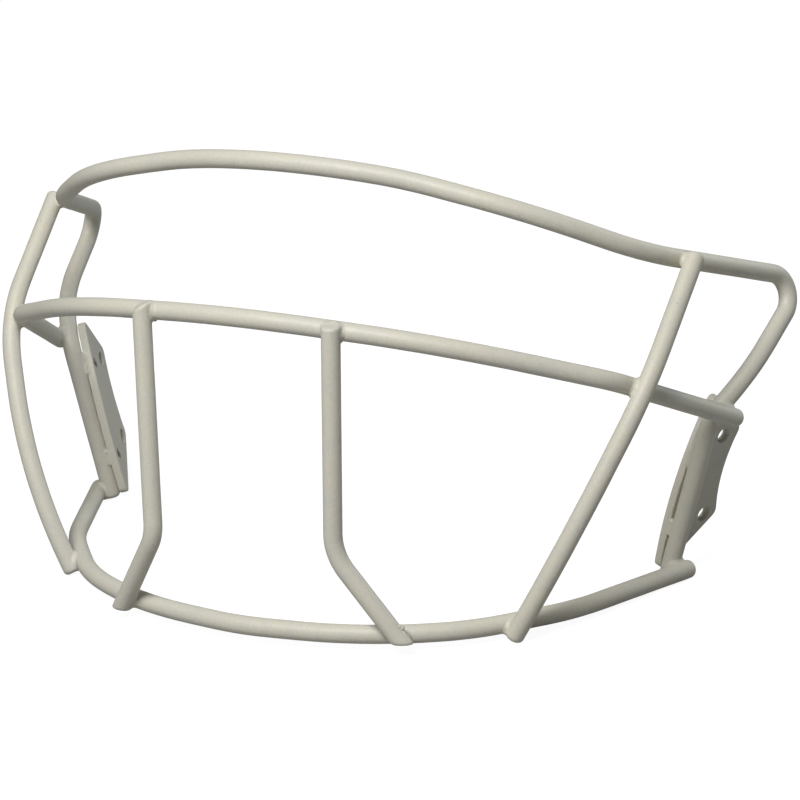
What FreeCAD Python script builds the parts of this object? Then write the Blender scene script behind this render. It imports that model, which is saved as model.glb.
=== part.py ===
import FreeCAD, Part
import math
import os

# Welded wire face guard for a batting helmet, in millimetres.
#
# The bars are laid out as the guard is worn: X to the wearer's left, Y to the back of the head and
# Z up, with the middle of the cheek bar's centreline at the origin. The finished guard is then
# leaned back until it stands on its own bar ends, which is how it lies on a table.

wire_diameter = 4.85         # 3/16 inch steel wire with a thin coat
end_rounding = 1.1           # coat build-up round the cut end of a wire
sheared_rounding = 0.5       # the same round a slantwise cut
bead_radius = 3.0           # weld metal round the middle of a crossing
foot_spacing = 55.0          # from the front ends to the rear ones when it stands
first_lean = 29.0            # degrees, close to the angle at which it stands
levelling_rounds = 8

plate_thickness = 2.3
plate_gap = 0.1              # daylight between a plate and the wire beside it
screw_hole_diameter = 4.3    # close fit for a No. 8 screw
electrode_mark_diameter = 2.6
electrode_mark_depth = 0.5
plate_corner_rounding = 2.6
plate_tip_rounding = 1.7
plate_edge_rounding = 0.35
plate_bead_radius = 1.35
bead_ahead = 0.5             # of the middle of a plate bead in front of the plate's edge
bead_raised = 0.2            # of the same above the plate's outer face
bead_end_rounding = 0.8

# Half routes from the middle of the guard to the wearer's left: x, y, z and the bend radius.
brow_route = [
    (0.0, 6.0, 41.5, 74.0),
    (31.7, 16.1, 41.2, 160.0),
    (62.9, 24.8, 37.3, 54.0),
    (86.1, 50.2, 34.3, 51.0),
    (108.3, 108.0, 41.8, 6.2),
    (104.0, 90.6, 13.7, 44.4),
    (96.8, 86.1, -0.3, 13.1),
    (85.0, 104.7, -40.8, 0.0),
]
leg_begins = 4               # the entry of the brow bar's route where its rear leg begins
cheek_route = [
    (0.0, 0.0, 0.0, 100.0),
    (52.0, 11.1, 0.0, 81.0),
    (86.6, 41.4, 0.0, 20.0),
    (102.5, 90.6, 0.6, 0.0),
]
chin_plan = [
    (0.0, 33.2, 56.0),
    (33.5, 37.2, 82.0),
    (56.6, 50.5, 53.0),
    (74.5, 70.7, 58.0),
    (90.5, 106.2, 0.0),
]
chin_height_at_front = -90.1
chin_rise = 0.49             # rise towards the back, per unit of Y

# Whole routes of the uprights. The inner pair was welded by hand and its two sides differ a little.
outer_upright_route = [
    (94.9, 61.8, 37.0, 0.0),
    (93.5, 46.5, -0.9, 49.0),
    (78.8, 47.5, -42.2, 132.0),
    (64.8, 57.0, -65.8, 0.0),
]
inner_upright_routes = {
    "left": [
        (27.0, 1.8, 0.5, 0.0),
        (25.9, 26.8, -53.1, 15.5),
        (43.3, 39.2, -72.2, 0.0),
    ],
    "right": [
        (-26.6, 1.8, 0.5, 0.0),
        (-23.1, 22.5, -55.2, 10.0),
        (-37.2, 37.3, -74.2, 0.0),
    ],
}
# The ways their sheared ends face.
inner_top_cuts = {"left": (0.0, -0.55, 0.83), "right": (-0.45, -0.45, 0.77)}
inner_bottom_cuts = {"left": (0.1, 0.28, -0.94), "right": (-0.1, 0.28, -0.94)}

# Mounting plate: origin at its upper tip, S down along the leg, T to the rear, N outwards.
plate_top = (96.8, 87.2, 6.2)
plate_bottom = (82.1, 105.2, -41.0)
plate_outward = (0.904, -0.223, -0.366)
plate_length = 52.6
plate_front_bow = 3.0
upper_ear = (10.4, 14.7)
waist = (22.9, 13.1)
lower_ear = (35.5, 15.9)
screw_holes = [(12.8, 8.5), (35.8, 10.7)]
electrode_marks = [(12.7, 0.3), (39.4, 0.6)]
# Where the hand-laid runs of weld in front of each leg begin and end, down the plate.
plate_beads = {
    "left": {"upper": (10.8, 20.5), "lower": (37.4, 40.4)},
    "right": {"upper": (10.0, 15.0), "lower": (38.2, 41.6)},
}

wire_radius = wire_diameter / 2
mirror_plane = FreeCAD.Vector(1, 0, 0)
offcut_size = 4 * wire_diameter     # of the block that takes away a sheared end
leg_sampling = 1.0
parallel = 0.99                     # cosine between directions that count as the same
touching = 0.01                     # distance between points that count as the same


def vector(numbers):
    return FreeCAD.Vector(numbers[0], numbers[1], numbers[2])


def both_halves(half):
    """The whole route of a bar from its left half, whose first point is on the middle plane."""
    other_half = [(-x, y, z, radius) for x, y, z, radius in reversed(half[1:])]
    return other_half + half


def bend(before, corner, after, radius):
    """The arc that rounds one corner of a route."""
    back = (before - corner).normalize()
    onward = (after - corner).normalize()
    half_angle = back.getAngle(onward) / 2
    setback = radius / math.tan(half_angle)
    bisector = (back + onward).normalize()
    middle = corner + bisector * (radius / math.sin(half_angle) - radius)
    return Part.Arc(corner + back * setback, middle, corner + onward * setback)


def centreline(route):
    """Straight runs joined by tangent arcs."""
    points = [vector(entry) for entry in route]
    edges = []
    start = points[0]
    for index in range(1, len(points) - 1):
        arc = bend(points[index - 1], points[index], points[index + 1], route[index][3])
        edges.append(Part.LineSegment(start, arc.StartPoint).toShape())
        edges.append(arc.toShape())
        start = arc.EndPoint
    edges.append(Part.LineSegment(start, points[-1]).toShape())
    return Part.Wire(edges)


def wire_rod(route):
    """A round wire along a route, with square ends."""
    path = centreline(route)
    first_run = vector(route[1]) - vector(route[0])
    circle = Part.Circle(vector(route[0]), first_run, wire_radius)
    section = Part.Face(Part.Wire(circle.toShape()))
    rod = path.makePipe(section)
    expected = math.pi * wire_radius ** 2 * path.Length
    print(f"wire {path.Length:.1f} mm long, volume {rod.Volume / expected:.4f} of section x length")
    return rod


def rounded_ends(rod, rounding=end_rounding):
    """The same wire with its cut ends rounded over by the coat."""
    rims = [edge for face in rod.Faces if isinstance(face.Surface, Part.Plane) for edge in face.Edges]
    return rod.makeFillet(rounding, rims)


def cut_off(solid, point, outward):
    """Removes what lies beyond a plane."""
    beyond = Part.makeCylinder(offcut_size, offcut_size, point, outward)
    return solid.cut(beyond)


def mirrored(shape):
    return shape.mirror(FreeCAD.Vector(0, 0, 0), mirror_plane)


def mirrored_route(route):
    return [(-x, y, z, radius) for x, y, z, radius in route]


def chin_route():
    return [(x, y, chin_height_at_front + chin_rise * y, radius) for x, y, radius in chin_plan]


def inner_upright(side):
    """An upright sheared slantwise at both ends, where it laps the cheek and chin bars."""
    route = inner_upright_routes[side]
    rod = wire_rod([lengthened(route[0], route[1])] + route[1:-1] + [lengthened(route[-1], route[-2])])
    rod = cut_off(rod, vector(route[0]), vector(inner_top_cuts[side]))
    rod = cut_off(rod, vector(route[-1]), vector(inner_bottom_cuts[side]))
    return rounded_ends(rod, sheared_rounding)


def lengthened(tip, inside):
    """A route's end moved a diameter further out along its run."""
    outward = (vector(tip) - vector(inside)).normalize()
    end = vector(tip) + outward * wire_diameter
    return end.x, end.y, end.z, 0.0


def nearest_crossing(one, other):
    """The middle of the shortest line between two centrelines."""
    pair = one.distToShape(other)[1][0]
    return (pair[0] + pair[1]) * 0.5


def weld_bead(crossing, wires):
    """Weld metal in the corners round the spot where two wires are pressed together."""
    bead = Part.makeSphere(bead_radius, crossing)
    for wire in wires:
        bead = bead.cut(wire)
    return max(bead.Solids, key=lambda solid: solid.Volume)


def plate_axes():
    outward = vector(plate_outward).normalize()
    down = vector(plate_bottom) - vector(plate_top)
    down = (down - outward * down.dot(outward)).normalize()
    rear = outward.cross(down)
    return down, rear, outward


def on_plate(position, height=0.0):
    """The point at (s, t) on the plate's outer face, or at a height above that face."""
    down, rear, outward = plate_axes()
    return plate_origin() + down * position[0] + rear * position[1] + outward * height


def plate_origin():
    """The upper tip, moved along the plate's normal until the outer face clears the leg."""
    down, rear, outward = plate_axes()
    top = vector(plate_top)
    leg = centreline(brow_route[leg_begins:]).discretize(Distance=leg_sampling)
    level_with_plate = [point for point in leg if 0 < (point - top).dot(down) < plate_length]
    nearest = min(point.dot(outward) for point in level_with_plate)
    outer_face = nearest - wire_radius - plate_gap
    return top + outward * (outer_face - top.dot(outward))


def plate_outline():
    """Bowed front edge, two ears round the screw holes and a waist between them."""
    top = on_plate((0.0, 0.0))
    bottom = on_plate((plate_length, 0.0))
    front = Part.Arc(bottom, on_plate((plate_length / 2, -plate_front_bow)), top)
    rear = Part.Arc(on_plate(upper_ear), on_plate(waist), on_plate(lower_ear))
    return Part.Wire([
        Part.makeLine(top, on_plate(upper_ear)),
        rear.toShape(),
        Part.makeLine(on_plate(lower_ear), bottom),
        front.toShape(),
    ])


def rounded_corners(plate):
    """Rounds the two ears widely and the two tips more tightly."""
    outward = plate_axes()[2]
    ears = [on_plate(upper_ear), on_plate(lower_ear)]
    tips = [on_plate((0.0, 0.0)), on_plate((plate_length, 0.0))]
    for corners, radius in ((ears, plate_corner_rounding), (tips, plate_tip_rounding)):
        edges = [edge for edge in plate.Edges if stands_at(edge, corners, outward)]
        plate = plate.makeFillet(radius, edges)
    return plate


def stands_at(edge, corners, outward):
    """Whether an edge runs through the plate's thickness at one of the corners."""
    first, last = edge.Vertexes[0].Point, edge.Vertexes[-1].Point
    along = last - first
    if along.Length < plate_thickness / 2 or abs(along.normalize().dot(outward)) < parallel:
        return False
    return any(min(corner.distanceToPoint(first), corner.distanceToPoint(last)) < touching
               for corner in corners)


def mounting_plate():
    """A stamped plate with two screw holes and the marks of the welding electrodes inside."""
    outward = plate_axes()[2]
    plate = Part.Face(plate_outline()).extrude(outward * -plate_thickness)
    plate = rounded_corners(plate)
    faces = [face for face in plate.Faces if abs(face.normalAt(0, 0).dot(outward)) > parallel]
    plate = plate.makeFillet(plate_edge_rounding, [edge for face in faces for edge in face.Edges])
    for hole in screw_holes:
        start = on_plate(hole, plate_thickness)
        radius = screw_hole_diameter / 2
        plate = plate.cut(Part.makeCylinder(radius, 3 * plate_thickness, start, outward * -1))
    for mark in electrode_marks:
        start = on_plate(mark, electrode_mark_depth - plate_thickness)
        radius = electrode_mark_diameter / 2
        plate = plate.cut(Part.makeCylinder(radius, plate_thickness, start, outward * -1))
    return plate


def front_edge(distance_down):
    """How far the plate's bowed front edge lies ahead of the line between its tips."""
    from_middle = 2 * distance_down / plate_length - 1
    return -plate_front_bow * (1 - from_middle ** 2)


def plate_bead(reach, leg, plate):
    """A run of weld metal in the groove between the leg and the plate's front edge."""
    ends = [on_plate((down, front_edge(down) - bead_ahead), bead_raised) for down in reach]
    run = ends[1] - ends[0]
    bead = Part.makeCylinder(plate_bead_radius, run.Length, ends[0], run)
    bead = bead.makeFillet(bead_end_rounding, [edge for edge in bead.Edges if edge.Closed])
    return bead.cut(leg).cut(plate)


def build_guard():
    """Every piece in the worn position, by name."""
    outer_routes = {"left": outer_upright_route, "right": mirrored_route(outer_upright_route)}
    lines = {
        "brow_bar": centreline(both_halves(brow_route)),
        "cheek_bar": centreline(both_halves(cheek_route)),
        "chin_bar": centreline(both_halves(chin_route())),
    }
    parts = {"brow_bar": rounded_ends(wire_rod(both_halves(brow_route)))}
    parts["cheek_bar"] = rounded_ends(wire_rod(both_halves(cheek_route))).cut(parts["brow_bar"])
    parts["chin_bar"] = rounded_ends(wire_rod(both_halves(chin_route()))).cut(parts["brow_bar"])
    left_plate = mounting_plate()
    plates = {"left": left_plate, "right": mirrored(left_plate)}
    bars = ("brow_bar", "cheek_bar", "chin_bar")
    for side in ("left", "right"):
        outer = rounded_ends(wire_rod(outer_routes[side]))
        inner = inner_upright(side)
        for bar in bars:
            outer = outer.cut(parts[bar])
            inner = inner.cut(parts[bar])
        parts["outer_upright_" + side] = outer
        parts["inner_upright_" + side] = inner
        parts["mounting_plate_" + side] = plates[side]
        for place, reach in plate_beads[side].items():
            bead = plate_bead(reach, parts["brow_bar"], left_plate)
            parts[f"plate_{place}_weld_{side}"] = bead if side == "left" else mirrored(bead)
        parts.update(crossing_welds(side, parts, lines, outer_routes[side], inner_upright_routes[side]))
    return parts


def crossing_welds(side, parts, lines, outer_route, inner_route):
    """The welds at every crossing of one side."""
    outer_line = centreline(outer_route)
    inner_line = centreline(inner_route)
    sign = 1 if side == "left" else -1
    leg_line = centreline([(sign * x, y, z, radius) for x, y, z, radius in brow_route[leg_begins:]])
    outer_name = "outer_upright_" + side
    inner_name = "inner_upright_" + side
    crossings = {
        "brow_outer_weld_": (lines["brow_bar"], outer_line, "brow_bar", outer_name),
        "cheek_outer_weld_": (lines["cheek_bar"], outer_line, "cheek_bar", outer_name),
        "chin_outer_weld_": (lines["chin_bar"], outer_line, "chin_bar", outer_name),
        "cheek_inner_weld_": (lines["cheek_bar"], inner_line, "cheek_bar", inner_name),
        "chin_inner_weld_": (lines["chin_bar"], inner_line, "chin_bar", inner_name),
        "cheek_leg_weld_": (lines["cheek_bar"], leg_line, "cheek_bar", "brow_bar"),
        "chin_leg_weld_": (lines["chin_bar"], leg_line, "chin_bar", "brow_bar"),
    }
    welds = {}
    for name, (one, other, bar, crossing_bar) in crossings.items():
        middle = nearest_crossing(one, other)
        solids = [parts[bar], parts[crossing_bar], parts["mounting_plate_" + side]]
        welds[name + side] = weld_bead(middle, solids)
    return welds


def lowest(parts, names):
    """The height of the lowest point of some pieces."""
    return min(parts[name].optimalBoundingBox(False, False).ZMin for name in names)


def stood_up(parts):
    """Leans the guard back until its front and rear ends are level, and puts it on the ground."""
    front = [name for name in parts if name.startswith(("outer_upright", "inner_upright", "chin_outer"))]
    rear = [name for name in parts if name.startswith(("brow_bar", "chin_leg", "mounting_plate"))]
    lean = first_lean
    for attempt in range(levelling_rounds):
        leaned = {name: turned(shape, -lean) for name, shape in parts.items()}
        drop = lowest(leaned, front) - lowest(leaned, rear)
        lean -= math.degrees(math.atan2(drop, foot_spacing))
    leaned = {name: turned(shape, -lean) for name, shape in parts.items()}
    whole = Part.Compound(list(leaned.values())).optimalBoundingBox(False, False)
    shift = FreeCAD.Vector(-whole.Center.x, -whole.Center.y, -whole.ZMin)
    return {name: shape.translated(shift) for name, shape in leaned.items()}, lean, shift


def turned(shape, degrees):
    """Turned about the X axis."""
    copy = shape.copy()
    copy.rotate(FreeCAD.Vector(0, 0, 0), FreeCAD.Vector(1, 0, 0), degrees)
    return copy


guard, lean, shift = stood_up(build_guard())
print(f"leans back {lean:.3f} degrees, then moves by {shift.x:.4f}, {shift.y:.4f}, {shift.z:.4f}")
os.makedirs("parts", exist_ok=True)
for name, shape in guard.items():
    print(name, len(shape.Solids), "solid", round(shape.Volume, 1), "cubic mm, valid:", shape.isValid())
    shape.exportStep(os.path.join("parts", name + ".step"))
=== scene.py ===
"""Looks for a welded wire helmet face guard: coated bars, weld fillets and stamped mounting plates."""
import math

import bmesh
import bpy
import numpy as np
from mathutils import Matrix, Vector, noise
from mathutils.bvhtree import BVHTree


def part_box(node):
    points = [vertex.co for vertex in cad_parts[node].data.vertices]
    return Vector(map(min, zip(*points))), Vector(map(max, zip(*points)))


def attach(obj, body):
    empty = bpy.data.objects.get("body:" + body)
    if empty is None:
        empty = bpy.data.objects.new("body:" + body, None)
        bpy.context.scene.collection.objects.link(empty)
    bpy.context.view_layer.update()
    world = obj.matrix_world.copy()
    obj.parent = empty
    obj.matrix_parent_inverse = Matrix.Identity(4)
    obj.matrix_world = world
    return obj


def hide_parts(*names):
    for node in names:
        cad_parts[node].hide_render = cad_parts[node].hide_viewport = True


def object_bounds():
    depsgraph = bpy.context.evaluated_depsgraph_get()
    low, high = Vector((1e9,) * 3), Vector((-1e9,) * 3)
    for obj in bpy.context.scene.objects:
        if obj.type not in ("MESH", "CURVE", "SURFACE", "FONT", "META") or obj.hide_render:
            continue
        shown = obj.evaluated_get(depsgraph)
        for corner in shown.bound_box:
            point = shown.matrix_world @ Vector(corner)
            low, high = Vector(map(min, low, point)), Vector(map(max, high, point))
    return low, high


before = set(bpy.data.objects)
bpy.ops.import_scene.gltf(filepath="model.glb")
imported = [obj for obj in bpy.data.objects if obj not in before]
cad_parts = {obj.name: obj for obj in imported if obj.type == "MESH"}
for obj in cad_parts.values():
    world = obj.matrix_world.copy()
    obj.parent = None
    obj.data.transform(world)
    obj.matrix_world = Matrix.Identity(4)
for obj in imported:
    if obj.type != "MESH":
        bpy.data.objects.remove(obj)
cad_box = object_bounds()

MM = 0.001
SIDES = ("left", "right")
BARS = ("brow_bar", "cheek_bar", "chin_bar")
UPRIGHTS = tuple(f"{kind}_upright_{side}" for kind in ("inner", "outer") for side in SIDES)

WIRE_RADIUS = 2.425 * MM
SIDES_ROUND = 48                # corners in each ring of a bar
RING_SPACING = 0.6 * MM
SMOOTH_STEPS = 6                # quarter spacings that a kink is spread over, each way
SQUARE_END_ROUNDING = 1.25 * MM
UPPER_END_ROUNDING = 0.8 * MM   # the outer uprights' upper ends, which are less rounded
SHEARED_END_ROUNDING = 0.8 * MM
COAT_WAVE = 0.03 * MM           # how unevenly the coat lies on the wire
COAT_WAVE_LENGTH = 8.0 * MM

# How the vertices of the CAD bars are read.
CELL = 0.12 * MM                # the centres that the vertices of one ring point to lie this close
SAME_PLACE = 0.05 * MM
FEWEST_IN_RING = 12
IN_LINE = 0.93                  # cosine of the most that a bar turns from one ring to the next
END_FACE_BEHIND = 2 * WIRE_RADIUS
END_FACE_AHEAD = 5 * WIRE_RADIUS
FACING_OUT = 0.5                # cosine of the steepest slant of an end
FACING_UP = 0.5                 # upward share of the normal of an end that faces up
SAME_FLAT = 0.9998              # cosine between the normals of one flat face
SAME_LEVEL = 0.01 * MM
SQUARE_CUT = 0.995              # cosine of the slant beyond which an end counts as sheared
END_CLEARANCE = 0.4 * MM        # rings closer than this to an end's plane are left out

# How distances to a bar are measured.
OVERRUN = 3 * WIRE_RADIUS       # how far the centreline runs on beyond its ends
SEGMENT_MARGIN = 4 * MM         # stretches this much further off than the nearest are left out
END_DEPTH = 4 * WIRE_RADIUS     # points deeper than this behind an end don't feel it
END_ZONE = 8 * WIRE_RADIUS      # nor do points further off than this

# How surfaces are found from inside.
MARCHES = 26
MARCH_SHARE = 0.92              # the share of the remaining gap that each march takes
CAP_STEPS = 30
CAP_INSET = 1.8 * WIRE_RADIUS   # how far in from its end a bar's rounded cap begins
CAP_LIMIT = 6 * WIRE_RADIUS
ANY_DIRECTION = (0.3, 0.5, 0.8)  # no bar begins along this one

FILLET_RADIUS = 1.5 * MM
FILLET_NEAR = 3.2 * MM          # full fillet up to here, measured from the crossing
FILLET_FAR = 5.6 * MM           # no fillet beyond here
FILLET_SINK = 0.04 * MM         # the fillet dives under the bars where it fades out
FILLET_LUMP = 0.28 * MM
FILLET_LUMP_LENGTH = 1.6 * MM
FILLET_LIMIT = 5.4 * MM
FILLET_LEAST = 1e-6             # keeps a faded fillet's radius above nothing
FULL_LUMPS = 0.35 * FILLET_RADIUS   # weld metal this far off both bars is lumpy in full
LUMP_RISE = 0.15                # lumps stand out more than they dip
BEAD_FILLET = 1.7 * MM          # of the runs of weld between plate and leg
BEAD_NEAR = 1.8 * MM            # measured from the middle line of such a run
BEAD_FAR = 3.4 * MM
BEAD_LEAST = 0.1 * MM           # the shortest that the middle line of a run can be
BEAD_LIMIT = 9.0 * MM
GROOVE_DEPTH = 0.4 * WIRE_RADIUS    # how deep in the leg the view of such a run is taken from
BALL_LEVELS = 6
DROPLET_LEVELS = 4
DROPLET_PROUD = 0.2             # how far a droplet's middle stands off the bar, in its radii
DROPLET_LUMP = 0.3
DROPLET_LUMPS_ACROSS = 2
SHADED_FLAT_DEPTH = 0.3 * MM           # a flat this far below the plate's face gets painted shade, dark as the inside of a hole
# the size of each spot of painted shade
SHADE_RADIUS = 1.3 * MM
LEVEL = 0.9999                  # cosine between the plate's face and a flat level with it


# ---------------------------------------------------------------- centrelines from the CAD bars

def node_points(name):
    """Vertices of a CAD node and their outward normals, in metres."""
    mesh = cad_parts[name].data
    places = np.array([vertex.co for vertex in mesh.vertices])
    normals = np.zeros_like(places)
    for loop, corner in zip(mesh.loops, mesh.corner_normals):
        normals[loop.vertex_index] = corner.vector
    return places, normals


def rings_of(name):
    """Centre and direction of each full ring of vertices round a bar."""
    places, normals = node_points(name)
    axis_points = places - WIRE_RADIUS * normals
    cells = {}
    for index, cell in enumerate(np.round(axis_points / CELL).astype(int)):
        cells.setdefault(tuple(cell), []).append(index)
    rings = []
    used = set()
    for cell in sorted(cells, key=lambda key: -len(cells[key])):
        if cell in used:
            continue
        near = [tuple(np.add(cell, step) - 1) for step in np.ndindex(3, 3, 3)]
        members = [i for key in near if key in cells and key not in used for i in cells[key]]
        used.update(near)
        if len(np.unique(np.round(places[members] / SAME_PLACE), axis=0)) < FEWEST_IN_RING:
            continue
        direction = np.linalg.svd(normals[members], full_matrices=False)[2][2]
        rings.append((axis_points[members].mean(axis=0), direction))
    return rings


def ring_ahead(centre, direction, rings, remaining):
    """The nearest remaining ring that lies straight ahead."""
    best = None
    best_distance = math.inf
    for index in remaining:
        step = rings[index][0] - centre
        distance = np.linalg.norm(step)
        ahead = step @ direction > IN_LINE * distance
        in_line = abs(step @ rings[index][1]) > IN_LINE * distance
        if ahead and in_line and distance < best_distance:
            best = index
            best_distance = distance
    return best


def in_order(rings):
    """The rings in order along the bar, with their directions all pointing onward."""
    centres = np.array([centre for centre, _ in rings])
    first = int(np.linalg.norm(centres - centres.mean(axis=0), axis=1).argmin())
    remaining = [index for index in range(len(rings)) if index != first]
    order = [rings[first]]
    for sign in (1, -1):
        centre, direction = order[0] if sign < 0 else order[-1]
        direction = direction * sign
        while True:
            index = ring_ahead(centre, direction, rings, remaining)
            if index is None:
                break
            remaining.remove(index)
            centre, onward = rings[index]
            direction = onward if onward @ direction > 0 else -onward
            if sign > 0:
                order.append((centre, direction))
            else:
                order.insert(0, (centre, -direction))
    return order


def end_face(name, centre, direction):
    """A point on the flat face that ends a bar beyond the given ring, and its outward normal."""
    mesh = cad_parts[name].data
    faces = []
    for face in mesh.polygons:
        offset = np.array(face.center) - centre
        along = offset @ direction
        aside = np.linalg.norm(offset - along * direction)
        normal = np.array(face.normal)
        in_reach = -END_FACE_BEHIND < along < END_FACE_AHEAD and aside < WIRE_RADIUS
        if in_reach and normal @ direction > FACING_OUT:
            faces.append((np.array(face.center), normal, face.area))

    def flat_area(candidate):
        """The area of all the faces that lie in one plane with this one."""
        return sum(area for place, normal, area in faces
                   if normal @ candidate[1] > SAME_FLAT
                   and abs((place - candidate[0]) @ candidate[1]) < SAME_LEVEL)

    best = max(faces, key=flat_area)
    return best[0], best[1]


def evenly(path, spacing):
    """The same path with evenly spaced points."""
    steps = np.linalg.norm(np.diff(path, axis=0), axis=1)
    run = np.concatenate([[0], np.cumsum(steps)])
    even = np.linspace(0, run[-1], int(run[-1] / spacing) + 1)
    return np.column_stack([np.interp(even, run, path[:, axis]) for axis in range(3)])


def smoothed(path):
    """The path with evenly spaced points and the small kinks between rings rounded off."""
    fine = evenly(path, RING_SPACING / 4)
    weights = np.hanning(2 * SMOOTH_STEPS + 1)
    weights /= weights.sum()
    padded = np.vstack([2 * fine[0] - fine[SMOOTH_STEPS:0:-1], fine,
                        2 * fine[-1] - fine[-2:-SMOOTH_STEPS - 2:-1]])
    soft = np.column_stack([np.convolve(padded[:, axis], weights, "valid") for axis in range(3)])
    return evenly(soft, RING_SPACING)


def rounded_meeting(first, second, radius):
    """Distance to what two shapes share, with the corner between them rounded."""
    a = first + radius
    b = second + radius
    outside = np.sqrt(np.maximum(a, 0) ** 2 + np.maximum(b, 0) ** 2)
    return np.minimum(np.maximum(a, b), 0) + outside - radius


def filled_union(first, second, radius):
    """Distance to two shapes together, with the crease between them filled by a fillet."""
    a = first - radius
    b = second - radius
    inside = np.sqrt(np.minimum(a, 0) ** 2 + np.minimum(b, 0) ** 2)
    return np.maximum(np.minimum(a, b), 0) - inside + radius


class Rod:
    """A bar of round wire: its centreline and the two faces that end it."""

    def __init__(self, name):
        centres = np.array([centre for centre, _ in in_order(rings_of(name))])
        self.name = name
        self.ends = []
        tips = []
        for inward in (centres, centres[::-1]):
            last = inward[0]
            back = inward[np.argmax(np.linalg.norm(inward - last, axis=1) > 2 * WIRE_RADIUS)]
            direction = (last - back) / np.linalg.norm(last - back)
            place, normal = end_face(name, last, direction)
            reach = ((place - last) @ normal) / (direction @ normal)
            rounding = SQUARE_END_ROUNDING
            if direction @ normal < SQUARE_CUT:
                rounding = SHEARED_END_ROUNDING
            elif normal[2] > FACING_UP:
                rounding = UPPER_END_ROUNDING
            tips.append(last + reach * direction)
            self.ends.append((tips[-1], normal, direction, rounding))
        for tip, normal, _, _ in self.ends:
            far = np.linalg.norm(centres - tip, axis=1) > 2 * WIRE_RADIUS
            centres = centres[far | ((centres - tip) @ normal < -END_CLEARANCE)]
        self.line = smoothed(np.vstack([tips[0], centres, tips[1]]))
        self.long_line = np.vstack([self.line[0] + OVERRUN * self.ends[0][2], self.line,
                                    self.line[-1] + OVERRUN * self.ends[1][2]])

    def distance(self, points):
        """Signed distance from points to the surface, negative inside."""
        middle = points.mean(axis=0)
        spread = np.linalg.norm(points - middle, axis=1).max()
        starts, ends = self.long_line[:-1], self.long_line[1:]
        gaps = np.linalg.norm((starts + ends) / 2 - middle, axis=1)
        near = gaps < gaps.min() + 2 * spread + SEGMENT_MARGIN
        best = np.full(len(points), np.inf)
        for start, end in zip(starts[near], ends[near]):
            step = end - start
            offsets = points - start
            along = np.clip(offsets @ step / (step @ step), 0, 1)
            best = np.minimum(best, ((offsets - along[:, None] * step) ** 2).sum(axis=1))
        result = np.sqrt(best) - WIRE_RADIUS
        for place, normal, _, rounding in self.ends:
            beyond = (points - place) @ normal
            if beyond.max() > -END_DEPTH and np.linalg.norm(middle - place) < END_ZONE:
                result = rounded_meeting(result, beyond, rounding)
        return result


class Plate:
    """A CAD mounting plate, as something that distances are measured to."""

    def __init__(self, name):
        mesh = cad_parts[name].data
        self.tree = BVHTree.FromPolygons([vertex.co for vertex in mesh.vertices],
                                         [face.vertices for face in mesh.polygons])

    def distance(self, points):
        """Signed distance from points to the surface, negative inside."""
        result = np.empty(len(points))
        for index, point in enumerate(points):
            place, normal, _, gap = self.tree.find_nearest(Vector(point))
            result[index] = math.copysign(gap, (Vector(point) - place).dot(normal))
        return result


class Bead:
    """The straight line in the middle of a run of weld metal, a margin shorter at each end."""

    def __init__(self, name):
        places = node_points(name)[0]
        self.centre = places.mean(axis=0)
        axis = np.linalg.svd(places - self.centre, full_matrices=False)[2][0]
        along = (places - self.centre) @ axis
        self.start = self.centre + (along.min() + BEAD_NEAR) * axis
        self.step = max(along.max() - along.min() - 2 * BEAD_NEAR, BEAD_LEAST) * axis

    def distance(self, points):
        """Distance from points to the line in the middle of the run."""
        offsets = points - self.start
        along = np.clip(offsets @ self.step / (self.step @ self.step), 0, 1)
        return np.linalg.norm(offsets - along[:, None] * self.step, axis=1)


# ---------------------------------------------------------------- meshes

def coat_wave(places):
    """How far the uneven coat stands proud at each place."""
    return np.array([COAT_WAVE * noise.noise(Vector(place / COAT_WAVE_LENGTH)) for place in places])


def smooth_mesh(name, vertices, faces):
    """A smooth-shaded mesh object in the row frame."""
    mesh = bpy.data.meshes.new(name)
    mesh.from_pydata([tuple(vertex) for vertex in vertices], [], faces)
    mesh.polygons.foreach_set("use_smooth", [True] * len(mesh.polygons))
    mesh.update()
    piece = bpy.data.objects.new(name, mesh)
    bpy.context.scene.collection.objects.link(piece)
    return piece


def steady_axes(line):
    """Directions along the line and two across it that turn as little as they can."""
    tangents = np.gradient(line, axis=0)
    tangents /= np.linalg.norm(tangents, axis=1)[:, None]
    across = np.cross(tangents[0], ANY_DIRECTION)
    across /= np.linalg.norm(across)
    firsts = []
    for tangent in tangents:
        across = across - (across @ tangent) * tangent
        across /= np.linalg.norm(across)
        firsts.append(across)
    firsts = np.array(firsts)
    return tangents, firsts, np.cross(tangents, firsts)


def surface_along(shapes, centre, directions, limit):
    """How far each ray from a centre inside a shape runs before it comes out."""
    reach = np.zeros(len(directions))
    for _ in range(MARCHES):
        gap = shapes(centre + reach[:, None] * directions)
        reach = np.clip(reach - MARCH_SHARE * gap, 0, limit)
    return reach


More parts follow.
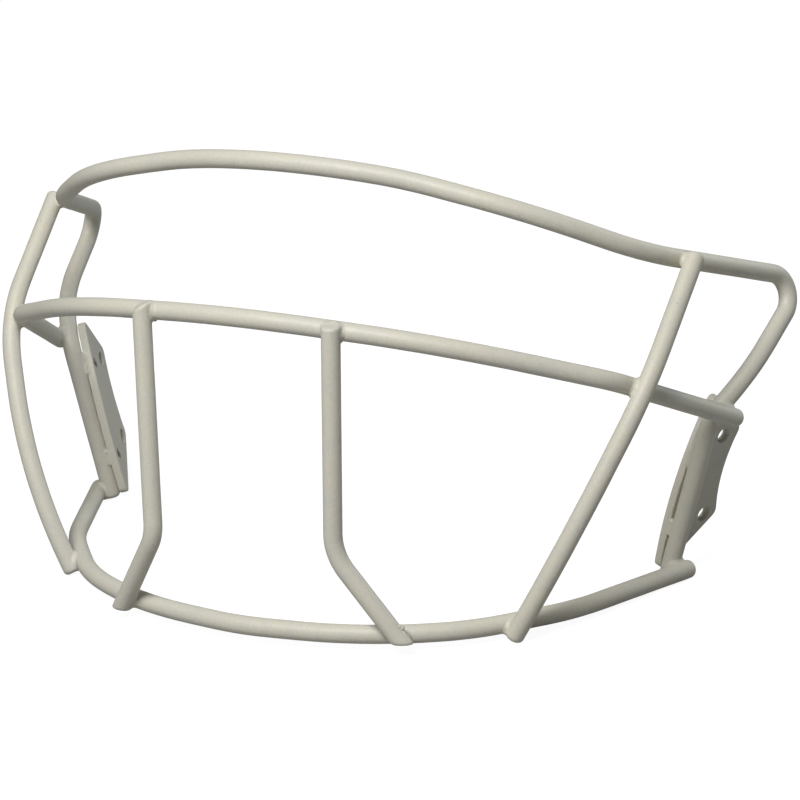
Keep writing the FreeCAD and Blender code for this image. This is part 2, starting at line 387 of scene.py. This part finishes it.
def bar_mesh(rod):
    """The bar as a finely divided tube with properly rounded ends."""
    inset = int(CAP_INSET / RING_SPACING)
    line = rod.line
    tangents, firsts, seconds = steady_axes(line)
    angles = np.linspace(0, 2 * math.pi, SIDES_ROUND, endpoint=False)
    rounds = [np.outer(np.cos(angles), u) + np.outer(np.sin(angles), v) for u, v in zip(firsts, seconds)]
    body = [line[i] + WIRE_RADIUS * rounds[i] for i in range(inset, len(line) - inset)]
    turns = np.linspace(math.pi / 2, 0, CAP_STEPS + 1)[1:-1]
    caps = []
    for index, sign in ((inset, -1), (len(line) - 1 - inset, 1)):
        rays = [math.sin(turn) * rounds[index] + math.cos(turn) * sign * tangents[index] for turn in turns]
        rays = np.vstack([*rays, sign * tangents[index][None]])
        reach = surface_along(rod.distance, line[index], rays, CAP_LIMIT)
        caps.append(line[index] + reach[:, None] * rays)
    head, tail = caps
    rings = [*head[:-1].reshape(-1, SIDES_ROUND, 3)[::-1], *body, *tail[:-1].reshape(-1, SIDES_ROUND, 3)]
    vertices = np.vstack([np.vstack(rings), head[-1:], tail[-1:]])
    faces = []
    for ring in range(len(rings) - 1):
        for corner in range(SIDES_ROUND):
            following = (corner + 1) % SIDES_ROUND
            here, there = ring * SIDES_ROUND, (ring + 1) * SIDES_ROUND
            faces.append((here + corner, here + following, there + following, there + corner))
    last = (len(rings) - 1) * SIDES_ROUND
    for corner in range(SIDES_ROUND):
        following = (corner + 1) % SIDES_ROUND
        faces.append((len(vertices) - 2, following, corner))
        faces.append((len(vertices) - 1, last + corner, last + following))
    piece = smooth_mesh(rod.name + "_coated", vertices, faces)
    move_along_normals(piece, coat_wave(vertices))
    return piece


def move_along_normals(piece, amounts):
    """Each vertex moved along its own normal."""
    mesh = piece.data
    normals = np.array([normal.vector for normal in mesh.vertex_normals])
    places = np.array([vertex.co for vertex in mesh.vertices])
    mesh.vertices.foreach_set("co", (places + amounts[:, None] * normals).ravel())
    mesh.update()


def ball(levels):
    """Directions and faces of a finely divided icosahedron."""
    shape = bmesh.new()
    bmesh.ops.create_icosphere(shape, subdivisions=levels, radius=1)
    shape.verts.ensure_lookup_table()
    directions = np.array([vertex.co for vertex in shape.verts])
    faces = [[vertex.index for vertex in face.verts] for face in shape.faces]
    shape.free()
    return directions / np.linalg.norm(directions, axis=1)[:, None], faces


def nearest_places(first, second, near=None):
    """The points of two centrelines that come closest to each other."""
    gaps = np.linalg.norm(first[:, None] - second[None], axis=2)
    if near is not None:
        gaps = gaps + np.linalg.norm(first - near, axis=1)[:, None]
    i, j = np.unravel_index(gaps.argmin(), gaps.shape)
    return first[i], second[j]


def faded(away, near, far):
    """1 up to the near distance, 0 beyond the far one."""
    t = np.clip((away - near) / (far - near), 0, 1)
    return 1 - t * t * (3 - 2 * t)


def lumps(points):
    """How far the lumps of the melt stand out or dip at each point, from -1 to 1."""
    return np.array([noise.noise(Vector(point / FILLET_LUMP_LENGTH)) for point in points])


def weld_surface(name, shape, centre, limit, weight, metal):
    """The skin of a weld, found outwards from its centre, with the lumps left by the melt."""
    directions, faces = ball(BALL_LEVELS)
    reach = surface_along(shape, centre, directions, limit)
    places = centre + reach[:, None] * directions
    filled = np.clip(metal(places) / FULL_LUMPS, 0, 1) * weight(places)
    piece = smooth_mesh(name + "_fillet", places, faces)
    move_along_normals(piece, FILLET_LUMP * filled * (lumps(places) + LUMP_RISE) + coat_wave(places))
    return piece


def crossing_weld(name, first, second, centre):
    """The crease between two crossing bars, filled round the spot where they touch."""

    def weight(points):
        return faded(np.linalg.norm(points - centre, axis=1), FILLET_NEAR, FILLET_FAR)

    def metal(points):
        return np.minimum(first.distance(points), second.distance(points))

    def shape(points):
        radius = FILLET_RADIUS * weight(points) + FILLET_LEAST
        return filled_union(first.distance(points), second.distance(points), radius) + FILLET_SINK

    return weld_surface(name, shape, centre, FILLET_LIMIT, weight, metal)


def plate_weld(name, leg, plate):
    """A run of weld metal laid in the groove between a leg and its plate."""
    bead = Bead(name)

    def weight(points):
        return faded(bead.distance(points), BEAD_NEAR, BEAD_FAR)

    def metal(points):
        return np.minimum(leg.distance(points), plate.distance(points))

    def shape(points):
        radius = BEAD_FILLET * weight(points) + FILLET_LEAST
        return filled_union(leg.distance(points), plate.distance(points), radius) + FILLET_SINK

    return weld_surface(name, shape, inside_leg(bead.centre, leg), BEAD_LIMIT, weight, metal)


def inside_leg(place, leg):
    """The place moved straight towards the leg's centreline, until it is just inside the leg."""
    leg_point = leg.line[np.linalg.norm(leg.line - place, axis=1).argmin()]
    inward = (leg_point - place) / np.linalg.norm(leg_point - place)
    return place + (leg.distance(place[None])[0] + GROOVE_DEPTH) * inward


def spatter(name, rod, place, droplets):
    """Droplets of weld metal frozen on a bar: each has a way along, a turn round and a radius."""
    nearest = np.linalg.norm(rod.line - place, axis=1).argmin()
    run = rod.line[-1] - rod.line[0]
    onward = math.copysign(1 / RING_SPACING, run[np.abs(run).argmax()])
    vertices = []
    faces = []
    directions, ball_faces = ball(DROPLET_LEVELS)
    for along, turn, radius in droplets:
        index = nearest + round(along * onward)
        tangent = rod.line[index + 1] - rod.line[index]
        tangent /= np.linalg.norm(tangent)
        down = np.array((0, 0, -1)) + tangent[2] * tangent
        down /= np.linalg.norm(down)
        ahead = np.cross(tangent, down)
        ahead *= -math.copysign(1, ahead[1])
        outward = math.cos(turn) * ahead + math.sin(turn) * down
        middle = rod.line[index] + (WIRE_RADIUS + DROPLET_PROUD * radius) * outward
        waves = [noise.noise(Vector(DROPLET_LUMPS_ACROSS * way + middle / MM)) for way in directions]
        reach = radius * (1 + DROPLET_LUMP * np.array(waves))
        faces += [[corner + len(vertices) for corner in face] for face in ball_faces]
        vertices += list(middle + reach[:, None] * directions)
    return smooth_mesh(name, vertices, faces)


# ---------------------------------------------------------------- materials

def node_tree(name):
    """A new material with an empty node tree, its shader and its output."""
    material = bpy.data.materials.new(name)
    material.use_nodes = True
    nodes = material.node_tree.nodes
    nodes.clear()
    shader = nodes.new("ShaderNodeBsdfPrincipled")
    output = nodes.new("ShaderNodeOutputMaterial")
    material.node_tree.links.new(shader.outputs["BSDF"], output.inputs["Surface"])
    return material, shader


def noise_node(tree, places, length, detail=3.0, roughness=0.5):
    """A noise texture whose features are about this long, in metres."""
    node = tree.nodes.new("ShaderNodeTexNoise")
    node.inputs["Scale"].default_value = 1 / length
    node.inputs["Detail"].default_value = detail
    node.inputs["Roughness"].default_value = roughness
    tree.links.new(places, node.inputs["Vector"])
    return node.outputs["Fac"]


def ramp_node(tree, value, stops):
    """A colour ramp from (position, grey or colour) stops."""
    node = tree.nodes.new("ShaderNodeValToRGB")
    ramp = node.color_ramp
    while len(ramp.elements) < len(stops):
        ramp.elements.new(1.0)
    for element, (position, colour) in zip(ramp.elements, stops):
        element.position = position
        element.color = (*colour, 1) if isinstance(colour, tuple) else (colour, colour, colour, 1)
    tree.links.new(value, node.inputs["Fac"])
    return node.outputs["Color"]


def mixed(tree, first, second, amount, kind="MIX"):
    """Two colours mixed; each input is a socket or a plain value."""
    node = tree.nodes.new("ShaderNodeMix")
    node.data_type = "RGBA"
    node.blend_type = kind
    node.clamp_factor = True
    factor, colour_a, colour_b = node.inputs[0], node.inputs[6], node.inputs[7]
    for socket, value in ((factor, amount), (colour_a, first), (colour_b, second)):
        if isinstance(value, bpy.types.NodeSocket):
            tree.links.new(value, socket)
        else:
            socket.default_value = value
    return node.outputs[2]


def bump_node(tree, height, strength, distance, before=None):
    """A bump from a height, on top of another bump if there is one."""
    node = tree.nodes.new("ShaderNodeBump")
    node.inputs["Strength"].default_value = strength
    node.inputs["Distance"].default_value = distance
    tree.links.new(height, node.inputs["Height"])
    if before is not None:
        tree.links.new(before, node.inputs["Normal"])
    return node.outputs["Normal"]


IVORY = (0.672, 0.652, 0.560)
IVORY_WARM = (0.700, 0.668, 0.552)
IVORY_COOL = (0.622, 0.618, 0.562)
WARM_LENGTH = 26 * MM
COOL_LENGTH = 5 * MM
GRAIN_LENGTH = 0.55 * MM
GRAIN_HEIGHT = 0.03 * MM
PEEL_LENGTH = 1.5 * MM
PEEL_HEIGHT = 0.06 * MM
COAT_IOR = 1.45


def ivory_coat(name, peel=0.35, mottle=1.0, roughness=0.48, pit_spacing=7 * MM, pit_tone=0.62, shade_middles=()):
    """Satin ivory coating: uneven tone, orange peel, fine grain, the odd pinhole and painted shade in any
    sunk round flats given.
    """
    material, shader = node_tree(name)
    tree = material.node_tree
    places = tree.nodes.new("ShaderNodeTexCoord").outputs["Object"]
    broad = noise_node(tree, places, WARM_LENGTH, detail=4)
    patches = noise_node(tree, places, COOL_LENGTH, detail=4, roughness=0.6)
    grain = noise_node(tree, places, GRAIN_LENGTH, detail=3, roughness=0.7)
    skin = noise_node(tree, places, PEEL_LENGTH, detail=2)
    warm = ramp_node(tree, broad, [(0.35, 0.0), (0.68, 1.0)])
    cool = ramp_node(tree, patches, [(0.50, 0.0), (0.78, 0.8 * mottle)])
    tone = mixed(tree, (*IVORY, 1), (*IVORY_WARM, 1), warm)
    tone = mixed(tree, tone, (*IVORY_COOL, 1), cool)
    speckle = ramp_node(tree, grain, [(0.30, 0.89), (0.70, 1.0)])
    tone = mixed(tree, tone, speckle, 1.0, "MULTIPLY")
    pits = tree.nodes.new("ShaderNodeTexVoronoi")
    pits.inputs["Scale"].default_value = 1 / pit_spacing
    tree.links.new(places, pits.inputs["Vector"])
    pit_mask = ramp_node(tree, pits.outputs["Distance"], [(0.0, pit_tone), (0.05, 1.0)])
    tone = mixed(tree, tone, pit_mask, 0.8, "MULTIPLY")
    # painted shade: each sunk round flat is darkened like the inside of a hole
    for shade_middle in shade_middles:
        tone = mixed(tree, tone, painted_shade(tree, places, shade_middle), 1.0, "MULTIPLY")
    tree.links.new(tone, shader.inputs["Base Color"])
    gloss = ramp_node(tree, patches, [(0.3, roughness - 0.05), (0.7, roughness + 0.07)])
    tree.links.new(gloss, shader.inputs["Roughness"])
    normal = bump_node(tree, skin, peel, PEEL_HEIGHT)
    normal = bump_node(tree, grain, peel, GRAIN_HEIGHT, normal)
    tree.links.new(normal, shader.inputs["Normal"])
    shader.inputs["IOR"].default_value = COAT_IOR
    return material


def painted_shade(tree, places, centre):
    """Painted shade in a sunk round flat, like the inside of a hole: dark in the middle, white away from
    it.
    """
    gap = tree.nodes.new("ShaderNodeVectorMath")
    gap.operation = "DISTANCE"
    gap.inputs[1].default_value = centre
    tree.links.new(places, gap.inputs[0])
    share = tree.nodes.new("ShaderNodeMath")
    share.operation = "DIVIDE"
    share.inputs[1].default_value = 2 * SHADE_RADIUS
    tree.links.new(gap.outputs["Value"], share.inputs[0])
    return ramp_node(tree, share.outputs["Value"], [(0.30, 0.30), (0.52, 1.0)])


def shaded_flat_middles():
    """The middles of the small round flats sunk into the plates' inner faces, which get painted shade."""
    shade_middles = []
    for side in SIDES:
        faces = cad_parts[f"mounting_plate_{side}"].data.polygons
        widest = max(faces, key=lambda face: face.area).normal
        for normal in (widest, -widest):
            flats = [face for face in faces if face.normal.dot(normal) > LEVEL]
            top = max(face.center.dot(normal) for face in flats)
            for face in flats:
                sunk = top - face.center.dot(normal) > SHADED_FLAT_DEPTH
                if sunk and all((face.center - shade_middle).length > 2 * SHADE_RADIUS for shade_middle in shade_middles):
                    shade_middles.append(face.center.copy())
    return shade_middles


# ---------------------------------------------------------------- the object's pieces

def dressed(piece, material):
    """The piece with its material, riding on the part's one body."""
    piece.data.materials.clear()
    piece.data.materials.append(material)
    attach(piece, "root")


# How far along the bar to the wearer's left or up, how far round it from the front downwards, radius.
SPATTER = (
    ("cheek_inner_weld_right", "cheek_bar",
     ((0.8 * MM, math.radians(72), 0.52 * MM), (1.4 * MM, math.radians(62), 0.38 * MM),
      (1.1 * MM, math.radians(88), 0.44 * MM))),
    ("chin_inner_weld_left", "inner_upright_left",
     ((1.1 * MM, math.radians(-100), 0.60 * MM), (1.9 * MM, math.radians(-94), 0.40 * MM))),
)


def build_object():
    """Every visible piece of the guard."""
    wire_coat = ivory_coat("ivory_coat_on_wire")
    # the plates' coat has painted shade in its sunk round flats
    plate_coat = ivory_coat("ivory_coat_on_plate", peel=0.45, shade_middles=shaded_flat_middles())
    weld_coat = ivory_coat("ivory_coat_on_weld", peel=0.5, mottle=1.2, pit_spacing=3.2 * MM, pit_tone=0.2)
    rods = {name: Rod(name) for name in (*BARS, *UPRIGHTS)}
    for name, rod in rods.items():
        piece = bar_mesh(rod)
        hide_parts(name)
        dressed(piece, wire_coat)
    joints = []
    for side in SIDES:
        joints += [(f"{bar}_{kind}_weld_{side}", rods[f"{bar}_bar"], rods[f"{kind}_upright_{side}"])
                   for bar, kind in (("brow", "outer"), ("cheek", "outer"), ("chin", "outer"),
                                     ("cheek", "inner"), ("chin", "inner"))]
        joints += [(f"{bar}_leg_weld_{side}", rods[f"{bar}_bar"], rods["brow_bar"])
                   for bar in ("cheek", "chin")]
    for name, first, second in joints:
        low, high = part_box(name)
        places = nearest_places(first.line, second.line, np.array((low + high) / 2))
        piece = crossing_weld(name, first, second, sum(places) / 2)
        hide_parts(name)
        dressed(piece, weld_coat)
    for name, bar, droplets in SPATTER:
        low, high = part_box(name)
        piece = spatter(name + "_spatter", rods[bar], np.array((low + high) / 2), droplets)
        dressed(piece, weld_coat)
    for side in SIDES:
        plate = Plate(f"mounting_plate_{side}")
        for level in ("upper", "lower"):
            name = f"plate_{level}_weld_{side}"
            piece = plate_weld(name, rods["brow_bar"], plate)
            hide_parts(name)
            dressed(piece, weld_coat)
        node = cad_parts[f"mounting_plate_{side}"]
        for index in range(len(node.material_slots)):
            node.material_slots[index].material = plate_coat


# ---------------------------------------------------------------- camera, light and floor

CAMERA_AZIMUTH = 27.179
CAMERA_ELEVATION = 18.727
CAMERA_ROLL = -2.549
CAMERA_DISTANCE = 886.43 * MM
CAMERA_LENS = 152.095
CAMERA_ASIDE = 18.329 * MM      # the view axis passes this far right of the box centre
CAMERA_BELOW = 12.310 * MM      # and this far below it

BACKDROP_SEEN = 1.0             # its strength where the camera sees it
BACKDROP_UNSEEN = 0.08          # and for everything that it lights
FLOOR_HALF_WIDTH = 4.0
FLOOR_GLOW = 0.94
FLOOR_SEEN = (0.2, 0.2, 0.2, 1)
FLOOR_UNSEEN = (0.36, 0.36, 0.36, 1)


def camera_axes():
    """The camera's right, up and forward directions."""
    azimuth = math.radians(CAMERA_AZIMUTH)
    elevation = math.radians(CAMERA_ELEVATION)
    roll = math.radians(CAMERA_ROLL)
    forward = Vector((-math.sin(azimuth) * math.cos(elevation),
                      math.cos(azimuth) * math.cos(elevation), -math.sin(elevation)))
    level = Vector((math.cos(azimuth), math.sin(azimuth), 0))
    upright = level.cross(forward)
    right = level * math.cos(roll) + upright * math.sin(roll)
    up = upright * math.cos(roll) - level * math.sin(roll)
    return right, up, forward


def set_camera():
    """The camera at the photograph's viewing angle."""
    right, up, forward = camera_axes()
    centre = (cad_box[0] + cad_box[1]) / 2
    aim = centre + right * CAMERA_ASIDE - up * CAMERA_BELOW
    data = bpy.data.cameras.new("camera")
    data.sensor_width = 36
    data.lens = CAMERA_LENS
    data.clip_start = 0.05
    camera = bpy.data.objects.new("camera", data)
    bpy.context.scene.collection.objects.link(camera)
    camera.rotation_mode = "QUATERNION"
    camera.location = aim - forward * CAMERA_DISTANCE
    turn = np.array([right, up, -forward]).T
    camera.rotation_quaternion = Matrix(turn.tolist()).to_quaternion()
    bpy.context.scene.camera = camera


def soft_light(name, direction, distance, size, power, colour=(1, 1, 1)):
    """A round soft box that faces the guard's middle from the given side."""
    centre = (cad_box[0] + cad_box[1]) / 2
    data = bpy.data.lights.new(name, "AREA")
    data.shape = "DISK"
    data.size = size
    data.energy = power
    data.color = colour
    light = bpy.data.objects.new(name, data)
    bpy.context.scene.collection.objects.link(light)
    light.rotation_mode = "QUATERNION"
    light.location = centre + direction.normalized() * distance
    light.rotation_quaternion = direction.to_track_quat("Z", "Y")
    return light


def set_lights():
    """A soft box above and to the left of the camera, and the glow of the backdrop on the right."""
    right, up, forward = camera_axes()
    before = -0.36 * right + 0.68 * up - forward
    behind = 0.75 * right + 0.55 * up + 0.4 * forward
    soft_light("key_light", before, distance=0.81, size=0.40, power=6.35)
    soft_light("backdrop_glow", behind, distance=1.2, size=1.0, power=4.6, colour=(0.88, 0.94, 1.0))


def seen_and_unseen(tree, seen, unseen, output_socket):
    """What the camera sees directly, and what everything else is lit by."""
    path = tree.nodes.new("ShaderNodeLightPath")
    mix = tree.nodes.new("ShaderNodeMixShader")
    tree.links.new(path.outputs["Is Camera Ray"], mix.inputs["Fac"])
    tree.links.new(unseen, mix.inputs[1])
    tree.links.new(seen, mix.inputs[2])
    tree.links.new(mix.outputs["Shader"], output_socket)


def set_world():
    """A white backdrop that throws only a little light on the guard."""
    world = bpy.data.worlds.new("world")
    world.use_nodes = True
    tree = world.node_tree
    tree.nodes.clear()
    output = tree.nodes.new("ShaderNodeOutputWorld")
    shaders = []
    for strength in (BACKDROP_SEEN, BACKDROP_UNSEEN):
        shader = tree.nodes.new("ShaderNodeBackground")
        shader.inputs["Color"].default_value = (1, 1, 1, 1)
        shader.inputs["Strength"].default_value = strength
        shaders.append(shader.outputs["Background"])
    seen_and_unseen(tree, *shaders, output.inputs["Surface"])
    bpy.context.scene.world = world


def set_floor():
    """A plain white floor with faint contact shadows that hardly lights the guard from below."""
    half = FLOOR_HALF_WIDTH
    level = cad_box[0].z
    corners = [(-half, -half, level), (half, -half, level), (half, half, level), (-half, half, level)]
    mesh = bpy.data.meshes.new("floor")
    mesh.from_pydata(corners, [], [(0, 1, 2, 3)])
    floor = bpy.data.objects.new("floor", mesh)
    bpy.context.scene.collection.objects.link(floor)
    material = bpy.data.materials.new("pale_floor")
    material.use_nodes = True
    tree = material.node_tree
    tree.nodes.clear()
    output = tree.nodes.new("ShaderNodeOutputMaterial")
    glow = tree.nodes.new("ShaderNodeEmission")
    glow.inputs["Strength"].default_value = FLOOR_GLOW
    shaded = tree.nodes.new("ShaderNodeBsdfDiffuse")
    shaded.inputs["Color"].default_value = FLOOR_SEEN
    seen = tree.nodes.new("ShaderNodeAddShader")
    tree.links.new(glow.outputs["Emission"], seen.inputs[0])
    tree.links.new(shaded.outputs["BSDF"], seen.inputs[1])
    dull = tree.nodes.new("ShaderNodeBsdfDiffuse")
    dull.inputs["Color"].default_value = FLOOR_UNSEEN
    seen_and_unseen(tree, seen.outputs["Shader"], dull.outputs["BSDF"], output.inputs["Surface"])
    mesh.materials.append(material)


build_object()
set_camera()
set_lights()
set_world()
set_floor()
bpy.context.scene.view_settings.view_transform = "Standard"
